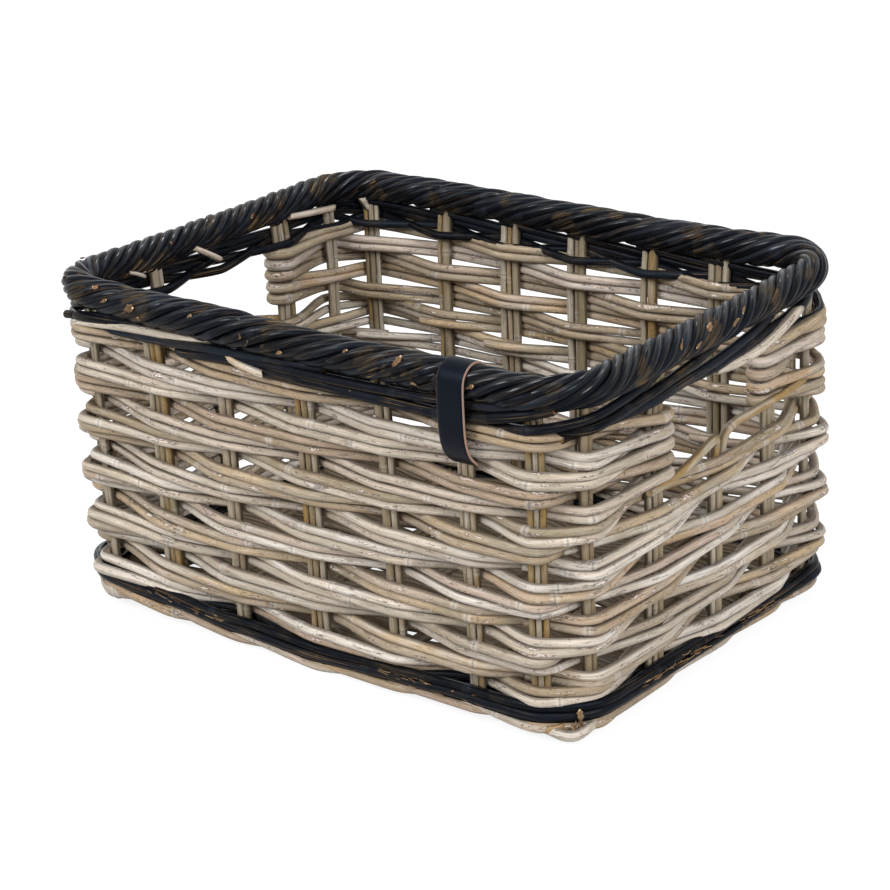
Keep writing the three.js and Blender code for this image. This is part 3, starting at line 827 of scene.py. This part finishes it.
# The two folded rods of a cut stake, as places across it, out from it, and heights.
FOLDED_RODS = (
    ((-3.5, 1, 118), (-3.5, 3, 148), (-8, 7, 158), (-30, 8.5, 153), (-62, 8, 145), (-80, 2, 141)),
    ((3.5, 1, 120), (3.5, 3, 150), (9, 7, 161), (30, 9.5, 162.5), (66, 9.5, 163), (100, 8.5, 165)),
)


def make_stakes():
    """Stakes: three rods side by side along the wall, or a thick and a thin one, thinner at the corners.
    Each wanders slightly and is bent out under the rope. The two cut stakes under the hand openings have two
    rods folded down outside the wall, one to each side."""
    for stake in STAKES:
        source = draws("stake", stake.number)
        bundle = Bundle()
        cut_short = stake.number in CUT_STAKES
        top = round_height(SILL_ROUND) - PITCH / 2 if cut_short else WALL_TOP + 6
        radii = STAKE_ROD / 2 * source.uniform(0.72, 1.0, 3)
        if stake.number % 5 in (0, 3):
            radii = STAKE_ROD / 2 * source.permutation([1.22, 0.84])
        if stake.corner:
            radii *= 0.8
        middles = np.cumsum(2 * radii) - radii
        middles -= middles.mean()
        outward = heading(stake.turn)[1]
        for middle, radius in zip(middles, radii):
            shift = source.normal(0, 0.6)
            points = [
                at_stake(stake, z, middle + source.normal(0, 0.3),
                         shift + source.normal(0, 0.3) + 3.5 * max(0, z - WALL_TOP) / 6)
                for z in np.linspace(4.5, top, 8)
            ]
            lay_rod(bundle, points, radius, source, lift=outward, knuckle_gap=(70, 240))
        for folded in FOLDED_RODS if cut_short else ():
            points = [at_stake(stake, z, across, out) for across, out, z in folded]
            lay_rod(bundle, points, 3.1, source, lift=outward, tint=0.95)
        name = f"stake_{stake.number:02d}"
        bundle.piece(name, STAKE, "stake_rattan", name)


# At the edge stake, the next one and all others: how far apart a turn-back rod's two ways lie, and how near
# they are to their level's own height.
TURN_SPREAD, TURN_SHARE = (0.4, 0.85, 1.0), (0.0, 0.7, 1.0)


def turn_points(part, walked, level, source):
    """Polygon of one turn-back rod, out along the walls and back: z moves from the turn's height at the edge
    stakes to the level's own on the walls, and the rod is thicker where it is pressed flat at its turns."""
    lowest, turn_height = EDGE_TURNS[part]
    middle = lowest + (level - SILL_ROUND) * turn_height
    points = []
    for lane in (1, -1):
        leg = []
        for step, stake in enumerate(walked):
            from_edge = min(step, len(walked) - 1 - step, 2)
            edge = from_edge == 0
            spread = ROD / 2 * TURN_SPREAD[from_edge]
            z = middle + (round_height(level) - middle) * TURN_SHARE[from_edge] + lane * spread
            inside = lane < 0 if edge else passes_inside(level, stake)
            out = -WEAVE_OFFSET if inside else WEAVE_OFFSET + (0.0 if edge else 0.8 * stake.bulge)
            for side in (-2.1, 2.1) if edge else (-7, 7):
                place = at_stake(stake, z + source.normal(0, 0.3), side, out + source.normal(0, 0.3))
                leg.append([*place, 1.35 if edge else 1.0])
        end, way = (walked[-1], 1) if lane > 0 else (walked[0], -1)
        shift = way * (1.5 * STAKE_ROD + ROD / 2 + 1.0)
        points += leg[::lane]
        points += [[*at_stake(end, middle, shift, out), 1.4] for out in (way * 4.5, -way * 4.5)]
    return points


def make_turn_rounds():
    """Rounds beside the hand openings: five long rods go to and fro between the opening's edge stakes, one
    above another, and each bends round the edge stake from outside to inside at both ends. The lower piece
    has two of them and the upper three."""
    for part, (first, last) in EDGE_STAKES.items():
        count = (last - first) % len(STAKES) + 1
        walked = [STAKES[(first - 1 + i) % len(STAKES)] for i in range(count)]
        for levels, rows in (("12_13", (0, 1)), ("14_15", (2, 3, 4))):
            source = draws("turn", rows[0] + first)
            bundle = Bundle()
            for row in rows:
                points = turn_points(part, walked, SILL_ROUND + row, source)
                lay_rod(bundle, points, ROD / 2 * source.uniform(0.92, 1.08), source, closed=True)
            name = f"{part}_turn_round_{levels}"
            bundle.piece(name, GREY, "grey_rattan", name)


def rim_path(places):
    """Middle line of the rope: a rounded rectangle, read by its length from the front side's left end. Gives
    points, outward directions and the whole length."""
    radius = CORNER_RADIUS + WALL_INSET - RIM_RADIUS
    runs = (LENGTH - 2 * RIM_RADIUS - 2 * radius, WIDTH - 2 * RIM_RADIUS - 2 * radius)
    arc = math.pi / 2 * radius
    points = np.zeros((len(places), 3))
    outward = np.zeros((len(places), 3))
    begun = 0.0
    for side in range(4):
        along, out = heading(side * 90.0)
        run, depth = runs[side % 2], runs[1 - side % 2] / 2 + radius
        on_run = (places >= begun) & (places <= begun + run)
        points[on_run] = along * ((places[on_run] - begun)[:, None] - run / 2) + out * depth
        outward[on_run] = out
        begun += run
        on_arc = (places >= begun) & (places <= begun + arc)
        turn = (places[on_arc] - begun) / radius
        outward[on_arc] = out * np.cos(turn)[:, None] + along * np.sin(turn)[:, None]
        points[on_arc] = along * run / 2 + out * (depth - radius) + outward[on_arc] * radius
        begun += arc
    points[:, 2] = HEIGHT - RIM_RADIUS
    return points, outward, begun


RIM_LENGTH = rim_path(np.zeros(1))[2]
ROPE_LANES = 9
ROPE_TURNS = 12
# How far the rope's turns run ahead or behind, in radians: it is laid longer along the front and back.
ROPE_SLACK = 1.2
STRAND_RADIUS = 3.3
# How far a strand runs on past its joins, how deep it dives there, and how much longer than the rim's middle
# line it is, since it winds round it.
STRAND_OVERLAP = 13
STRAND_DIVE = 5.5
STRAND_STRETCH = 1.1


def rope_spoke(outward, phase):
    """Directions out from the rope's middle line, the phase turning from outward to up."""
    return outward * np.cos(phase)[:, None] + UP * np.sin(phase)[:, None]


def lay_strand(bundle, lane, begin, end, source):
    """One rod of the rope: a left-handed helix round the rim's middle line, which rises out of the rope,
    lies on it and dives in again. Its distance and its phase ripple a little, and it lies further out left
    of the front's middle, as a bell curve."""
    length = end - begin + 2 * STRAND_OVERLAP
    steps = np.linspace(0, length, int(length / 2.6))
    places = begin - STRAND_OVERLAP + steps
    middle, outward, _ = rim_path(places % RIM_LENGTH)
    radius = STRAND_RADIUS * source.uniform(0.82, 1.16)
    dive = STRAND_DIVE * (bell(steps, 0, STRAND_OVERLAP) + bell(steps, length, STRAND_OVERLAP))
    reach = RIM_RADIUS - radius + 0.35 + 0.6 * ripple(steps, 120, source) - dive
    reach += 0.9 * bell(places % RIM_LENGTH, 125, 60)
    loop = 2 * np.pi * places / RIM_LENGTH
    phase = 2 * np.pi * lane / ROPE_LANES + ROPE_TURNS * loop + ROPE_SLACK * np.cos(2 * loop)
    phase += 0.09 * ripple(steps, 160, source) + source.normal(0, 0.05)
    spoke = rope_spoke(outward, phase)
    distance = np.abs(steps[:, None] - source.uniform(0, length, 2)).min(1)
    radii = radius * (1 + 0.07 * ripple(steps, 70, source)) + 0.22 * bell(distance, 0, 2.5)
    radii[[0, -1]] *= 0.6
    bundle.tube(middle + spoke * reach[:, None], radii, steps * STRAND_STRETCH, spoke, source.uniform(),
                source.uniform(0, 50), sides=11, flat=0.96, knuckle=np.minimum(distance, KNUCKLE_REACH))


def make_rim():
    """Rope of rods: nine lanes wind round a plain core, each laid with rods one after another."""
    source = draws("rope")
    bundle = Bundle()
    for lane in range(ROPE_LANES):
        joins = np.arange(0, RIM_LENGTH - 120, source.uniform(190, 260))
        joins = joins + source.uniform(0, 150) + source.uniform(-30, 30, len(joins))
        for begin, end in zip(joins, np.append(joins[1:], joins[0] + RIM_LENGTH)):
            lay_strand(bundle, lane, begin, end, source)
    bundle.piece("rim_rope", BLACK, "black_rattan", "rim_rope")
    places = np.linspace(0, RIM_LENGTH, 400, endpoint=False)
    core = Bundle()
    core.tube(rim_path(places)[0], np.full(len(places), 7.0), places, UP, 0.3, 1.0, closed=True, sides=10)
    core.piece("rim_core", CORE, "black_rattan")


# Loose bark on the rope's front, right and left, as in the photo: its length along the rim in mm, its angle
# round the rope in degrees counted from outside upwards, its own length before it shrank, and its width.
LOOSE_BARK = (
    (44, 12, 12, 6), (52, -20, 6, 3), (100, 30, 6, 3.5), (113, -35, 9, 2.5), (146, 8, 6, 3.5),
    (153, -5, 5, 2.2), (181, -12, 7, 3), (236, 40, 6, 2.2), (280, 38, 12, 4.5), (294, -24, 8, 2.5),
    (341, 10, 6, 3), (8, 50, 9, 3.5), (20, 15, 9, 2.5), (498, 22, 6, 2), (516, 0, 6, 3), (533, 36, 10, 4.5),
    (561, 12, 12, 2.5), (574, 35, 9, 1.8), (1404, 60, 8, 3), (1415, 20, 8, 4), (1436, 35, 8, 3.5),
    (1330, 150, 7, 2.5), (1242, 160, 7, 2.2),
)
BARK_SHRINKAGE = 0.62
# Frayed places along the black foot round: wall, from and to along it, and height, in mm.
FRAYED = ((on_front, -152, -76, 11.0), (on_front, 62, 150, 10.0),
          (on_right, -90, -50, 11.0), (on_right, -45, 5, 10.0), (on_right, 25, 95, 9.0))
MM_PER_FIBRE = 2.4


def flake(bundle, place, along, normal, length, width, rise, source):
    """A leaf of bark: a flat, short tube with blunt ends, whose tail lifts off as the square of the way."""
    t = np.linspace(0, 1, 9)
    bend = np.cross(along, normal) * source.uniform(-0.2, 0.2) * length
    path = place + along * (length * (t - 0.5))[:, None] + (normal * rise + bend) * (t**2)[:, None]
    radii = width / 2 * (1 - 0.5 * np.abs(2 * t - 1) ** 3)
    radii *= 1 + 0.3 * ripple(t * length, length / 2, source)
    bundle.tube(path, radii, t * length, normal, source.uniform(), source.uniform(0, 50), sides=8, flat=0.2,
                slants=(0.8, 0.8))


def fibre(bundle, points, radius, source):
    """A torn fibre: a very thin rod, dark, brown or golden."""
    lay_rod(bundle, points, radius, source, sides=5, step=2.0, tint=source.choice((0.1, 0.3, 0.98)))


def fray(bundle, wall, begin, finish, height, source):
    """Short fibres torn up along a rod of a wall, their ends standing off a little."""
    for _ in range(int((finish - begin) / MM_PER_FIBRE)):
        place = source.uniform(begin, finish)
        z = height + source.normal(0, 1.8)
        out = 10.7 + source.uniform(-0.6, 0.3)
        length = source.uniform(4, 14)
        ends = [wall(place + length * share, out + away, z + source.normal(0, 0.5))
                for share, away in ((-0.5, -0.8), (0.0, 0.5), (0.5, source.uniform(-0.5, 1.0)))]
        fibre(bundle, ends, source.uniform(0.2, 0.42), source)


def make_torn_corner(bundle, source):
    """At the foot of the near corner: a flat leaf over the black round, and thin torn ends and a cut end."""
    before, after = (STAKES[number - 1] for number in NEAR_CORNER)
    along, outward = heading(45)
    flake(bundle, at_stake(after, 13.5, -17, 12.2), UP - 0.3 * along, outward, 6.5, 4.2, -0.8, source)
    for _ in range(11):
        across = source.uniform(-24, -13)
        z = source.uniform(5, 9)
        drop = source.uniform(3, 6)
        out = source.uniform(10.5, 12.5)
        aside, away = source.uniform(-1.5, 1.5), source.uniform(-1, 0.5)
        points = [at_stake(after, z, across, out - 2.5), at_stake(after, z - 0.3 * drop, across, out),
                  at_stake(after, z - drop, across + aside, out + away)]
        lay_rod(bundle, points, source.uniform(0.35, 0.8), source, sides=7, step=1.5)
    points = [at_stake(before, 4.5, 16, 7), at_stake(before, 3.5, 12, 11.5), at_stake(before, 3.0, 6, 12.5)]
    lay_rod(bundle, points, 2.3, source, step=1.5, tint=0.9)


def make_peeled_weave(source):
    """Leaves of bark that come off the outer rods of the front's and the right wall's rounds."""
    bundle = Bundle()
    for stake in STAKES[1:11]:
        for level in source.choice(np.arange(3, SILL_ROUND), 3, replace=False):
            lane = source.choice((-1, 1))
            if passes_inside(level, stake) or stake.corner:
                continue
            along, outward = heading(stake.turn)
            z = round_height(level) + lane * ROD / 2
            place = at_stake(stake, z, source.uniform(-8, 8), WEAVE_OFFSET + 3.4)
            flake(bundle, place + UP * source.uniform(-1.5, 1.5), along + 0.04 * UP, outward,
                  source.uniform(9, 20), source.uniform(1.0, 2.4), source.uniform(0.5, 1.8), source)
    bundle.piece("peeled_bark", GREY, "grey_rattan")


def make_loose_bark():
    """Leaves of bark along the strands of the rope, some with a fibre beside them, frayed places along the
    black foot round, torn ends at the foot of the near corner, and bark that peels off the weave."""
    source = draws("bark")
    bundle = Bundle()
    lay = 2 * math.pi * ROPE_TURNS / RIM_LENGTH
    for place, degrees, length, width in LOOSE_BARK:
        steps = np.array([-0.5, 0.0, 0.5])
        middle, outward, _ = rim_path((place + steps) % RIM_LENGTH)
        spoke = rope_spoke(outward, math.radians(degrees) + lay * steps)
        tail, here, head = middle + spoke * (RIM_RADIUS + 0.2)
        along = head - tail
        along = unit(along + np.cross(along, spoke[1]) * source.uniform(-0.5, 0.5))
        flake(bundle, here, along, spoke[1], BARK_SHRINKAGE * length, width, source.uniform(0.3, 1.2),
              source)
        if source.uniform() < 0.4:
            start = here + along * source.uniform(-4, 4)
            tip = start + along * source.uniform(2, 4) + spoke[1] * source.uniform(0.2, 0.8)
            fibre(bundle, [start - along * 3, start + spoke[1] * 0.4, tip], source.uniform(0.2, 0.4), source)
    for wall, begin, finish, height in FRAYED:
        fray(bundle, wall, begin, finish, height, source)
    make_torn_corner(bundle, source)
    bundle.piece("loose_bark", BARK, "grey_rattan")
    make_peeled_weave(source)


BASE_STICKS, BASE_BANDS, BAND_RODS = 7, 8, 6
# Half the wall's thickness, the gap kept to neighbouring pieces, and both together.
WALL_HALF, GAP = 6.6 + ROD / 2, 0.3
BASE_MARGIN = WALL_HALF + GAP
# How far a band's rods go over and under the sticks' middles.
BAND_WAVE = 6.4


def make_base():
    """Base: pairs of cross sticks, with bands of six rods that go over one pair and under the next. Both run
    up to its outline, a rounded rectangle."""
    half_length, half_width = (half - BASE_MARGIN for half in stake_line(BASE_HEIGHT))
    radius = CORNER_RADIUS - BASE_MARGIN + GAP
    outer = half_length - radius - (STAKE_ROD + 0.9)
    sticks = np.linspace(-outer, outer, BASE_STICKS)

    def reach(edge, run, cross):
        """Half length of a stick or rod with its edge this far out: the run less the corner's curve there."""
        past = max(0.0, edge - (cross - radius))
        return run - radius + math.sqrt(max(0.0, radius**2 - past**2))

    for i, x in enumerate(sticks):
        source = draws("stick", i)
        bundle = Bundle()
        run = reach(abs(x) + STAKE_ROD, half_width, half_length)
        for lane in (-1, 1):
            middle = x + lane * STAKE_ROD / 2
            points = [[middle + source.normal(0, 0.3), y, BASE_HEIGHT + source.normal(0, 0.2)]
                      for y in np.linspace(-run, run, 7)]
            lay_rod(bundle, points, STAKE_ROD / 2 * source.uniform(0.92, 1.0), source)
        name = f"base_stick_{i + 1}"
        bundle.piece(name, BASE, "stake_rattan", name)
    spacing = 2 * half_width / BASE_BANDS
    for band in range(BASE_BANDS):
        source = draws("band", band)
        bundle = Bundle()
        for rod in range(BAND_RODS):
            y = (band - (BASE_BANDS - 1) / 2) * spacing + (rod - (BAND_RODS - 1) / 2) * spacing / BAND_RODS
            run = reach(abs(y) + ROD / 2, half_length, half_width) - 0.5
            points = [[-run, y, BASE_HEIGHT]]
            for i, x in enumerate(sticks):
                if abs(x) <= run - 8:
                    z = BASE_HEIGHT + (BAND_WAVE if (i + band) % 2 else -BAND_WAVE)
                    points.append([x, y + source.normal(0, 0.2), z + source.normal(0, 0.15)])
            points.append([run, y, BASE_HEIGHT])
            lay_rod(bundle, points, spacing / BAND_RODS / 2 * source.uniform(0.92, 1.02), source, sides=10,
                    step=4.5)
        name = f"base_band_{band + 1}"
        bundle.piece(name, BASE, "grey_rattan", name)


STRAP_WIDTH, STRAP_THICKNESS, STRAP_BEVEL = 21.0, 2.0, 0.35
# Heights at which the strap slips in under a round, and at which it begins inside the wall.
STRAP_TUCK = 181.0
STRAP_BEGIN = WALL_TOP - 34
# Sides of the strap's section that are its cut edges.
STRAP_EDGES = (8, 9, 10, 19, 20, 21)


def make_strap():
    """Strap: a rounded oblong section carried along a path in the plane square to the front: up inside the
    wall, over the rope as a half circle, down outside, and in under a round."""
    middle = WIDTH / 2 - RIM_RADIUS
    over = RIM_RADIUS + GAP + STRAP_THICKNESS / 2
    inner = stake_line(WALL_TOP)[1] - WALL_HALF - GAP - STRAP_THICKNESS / 2
    outer = middle + over
    curve = [(inner, STRAP_BEGIN), (inner, WALL_TOP - 12)]
    curve += [(middle - over * math.cos(turn), HEIGHT - RIM_RADIUS + over * math.sin(turn))
              for turn in np.linspace(0, math.pi, 7)]
    curve += [(outer, 216), (outer - 0.3, 203), (outer - 1.8, 193), (outer - 5.5, 185)]
    curve += [(outer - 9.5, STRAP_TUCK), (stake_line(STRAP_TUCK)[1] + 5, STRAP_TUCK - 3)]
    curve, lengths = eased([(STAKES[5].slide + 4, -out, z) for out, z in curve])
    path = read_curve(np.linspace(0, lengths[-1], 110), curve, lengths)
    across = np.array([1.0, 0.0, 0.0])
    normal = np.cross(unit(np.gradient(path, axis=0)), across)
    half, thick, bevel = STRAP_WIDTH / 2, STRAP_THICKNESS / 2, STRAP_BEVEL
    flat = np.linspace(-half + bevel, half - bevel, 9)
    section = [(u, -thick) for u in flat] + [(half, -thick + bevel), (half, thick - bevel)]
    section += [(u, thick) for u in flat[::-1]] + [(-half, thick - bevel), (-half, -thick + bevel)]
    section = np.array(section)
    grid = path[:, None] + section[None, :, :1] * across + section[None, :, 1:] * normal[:, None]
    rings, sides = grid.shape[:2]
    faces, _, j = grid_faces(rings, sides, rings - 1)
    faces = faces[:, [0, 3, 2, 1]].tolist()
    faces += [list(range(sides)), list(range((rings - 1) * sides, rings * sides))[::-1]]
    mesh = bpy.data.meshes.new("strap")
    mesh.from_pydata((settle(grid.reshape(-1, 3)) * METRES_PER_MM).tolist(), [], faces)
    mesh.polygons.foreach_set("use_smooth", [True] * len(faces))
    is_edge = np.append(np.isin(j, STRAP_EDGES), [True, True]).astype(np.float32)
    mesh.attributes.new("edge", "FLOAT", "FACE").data.foreach_set("value", is_edge)
    mesh.materials.append(leather_material())
    mesh.validate()
    mesh.update()
    show(bpy.data.objects.new("strap", mesh), "leather", "strap")


def finish_surface(t, soft, seen, output):
    """Joins two shaders to the output: seen for rays that show a surface to the camera, straight or by way
    of gloss, and soft for the light that it gives."""
    path = t.add("ShaderNodeLightPath")
    factor = t.math("MAXIMUM", t.read(path, "Is Glossy Ray"), t.read(path, "Is Transmission Ray"))
    factor = t.math("MAXIMUM", t.read(path, "Is Camera Ray"), factor)
    both = t.add("ShaderNodeMixShader", {0: factor, 1: t.read(soft), 2: t.read(seen)})
    t.add(output, {"Surface": t.read(both)})


# Fitted to the photo's outline: the camera's place, its turns in radians, and its focal length in pixels.
CAMERA_PLACE = np.array([1.13452, -1.40422, 0.80999])
CAMERA_YAW, CAMERA_PITCH, CAMERA_ROLL = -0.68107, 0.37173, -0.04497
FOCAL_LENGTH, PHOTO_WIDTH, SENSOR_WIDTH = 2685.2, 890, 36.0
# The foot hangs a little below the solids' underside in the front's middle, so the floor lies lower too.
FLOOR_HEIGHT = -0.0068
FLOOR_CORNERS = ((-6, -6), (6, -6), (6, 6), (-6, 6))
# Strength of the world's light, the floor's grey for soft light, and its grey and glow for the camera.
WORLD_LIGHT = 0.42
FLOOR_GREY, SHADOW_GREY, FLOOR_GLOW = 0.6, 0.24, 0.86
# Lamps: name, place, what each is aimed at, diameter and power.
LAMPS = (
    ("key", (-0.9, -2.3, 1.75), (0, 0, 0.12), 1.2, 49), ("top", (0.2, -0.5, 2.6), (0, 0, 0.12), 1.0, 18),
    ("side", (2.4, -0.7, 1.6), (0, 0, 0.12), 1.2, 46), ("edge", (-0.7, 1.3, 2.3), (0, 0, 0.2), 0.5, 10),
)


def make_camera():
    """Camera: turned by its yaw, lowered by its pitch, and rolled about its line of sight."""
    yaw, pitch, roll = CAMERA_YAW, CAMERA_PITCH, CAMERA_ROLL
    forward = np.array([math.sin(yaw) * math.cos(pitch), math.cos(yaw) * math.cos(pitch), -math.sin(pitch)])
    level_right = np.array([math.cos(yaw), -math.sin(yaw), 0.0])
    level_up = np.cross(level_right, forward)
    turn = np.eye(4)
    turn[:3, 0] = math.cos(roll) * level_right + math.sin(roll) * level_up
    turn[:3, 1] = math.cos(roll) * level_up - math.sin(roll) * level_right
    turn[:3, 2] = -forward
    turn[:3, 3] = CAMERA_PLACE
    lens = bpy.data.cameras.new("camera")
    lens.sensor_width = SENSOR_WIDTH
    lens.lens = FOCAL_LENGTH / PHOTO_WIDTH * SENSOR_WIDTH
    camera = bpy.data.objects.new("camera", lens)
    camera.matrix_world = Matrix(turn.tolist())
    bpy.context.scene.collection.objects.link(camera)
    bpy.context.scene.camera = camera


def make_stage():
    """Camera, lamps, and a white floor whose glow for the camera alone keeps the object's soft shadow."""
    make_camera()
    for name, place, target, size, power in LAMPS:
        data = bpy.data.lights.new(name, "AREA")
        data.shape = "DISK"
        data.size = size
        data.energy = power
        item = bpy.data.objects.new(name, data)
        item.location = place
        item.rotation_euler = (Vector(target) - Vector(place)).to_track_quat("-Z", "Y").to_euler()
        bpy.context.scene.collection.objects.link(item)

    world = bpy.data.worlds.new("studio")
    bpy.context.scene.world = world
    world.use_nodes = True
    world.node_tree.nodes.clear()
    t = Tree(world.node_tree)
    soft, white = (t.add("ShaderNodeBackground", {"Color": (1, 1, 1, 1), "Strength": strength})
                   for strength in (WORLD_LIGHT, 1.0))
    finish_surface(t, soft, white, "ShaderNodeOutputWorld")

    material = bpy.data.materials.new("white floor")
    material.use_nodes = True
    material.node_tree.nodes.clear()
    t = Tree(material.node_tree)
    pale, shadow = (t.add("ShaderNodeBsdfDiffuse", {"Color": (grey, grey, grey, 1)})
                    for grey in (FLOOR_GREY, SHADOW_GREY))
    glow = t.add("ShaderNodeEmission", {"Color": (1, 1, 1, 1), "Strength": FLOOR_GLOW})
    both = t.add("ShaderNodeAddShader", {0: t.read(shadow), 1: t.read(glow)})
    finish_surface(t, pale, both, "ShaderNodeOutputMaterial")
    mesh = bpy.data.meshes.new("floor")
    mesh.from_pydata([(x, y, FLOOR_HEIGHT) for x, y in FLOOR_CORNERS], [], [(0, 1, 2, 3)])
    mesh.materials.append(material)
    floor = bpy.data.objects.new("floor", mesh)
    bpy.context.scene.collection.objects.link(floor)
    bpy.context.scene.view_settings.view_transform = "Standard"


make_stage()
make_stakes()
make_foot_strands()
make_black_round()
make_round("foot_round", 2)
for level in range(3, SILL_ROUND):
    make_round(f"weave_round_{level:02d}", level)
make_wales()
make_turn_rounds()
make_rim()
make_loose_bark()
make_base()
make_strap()
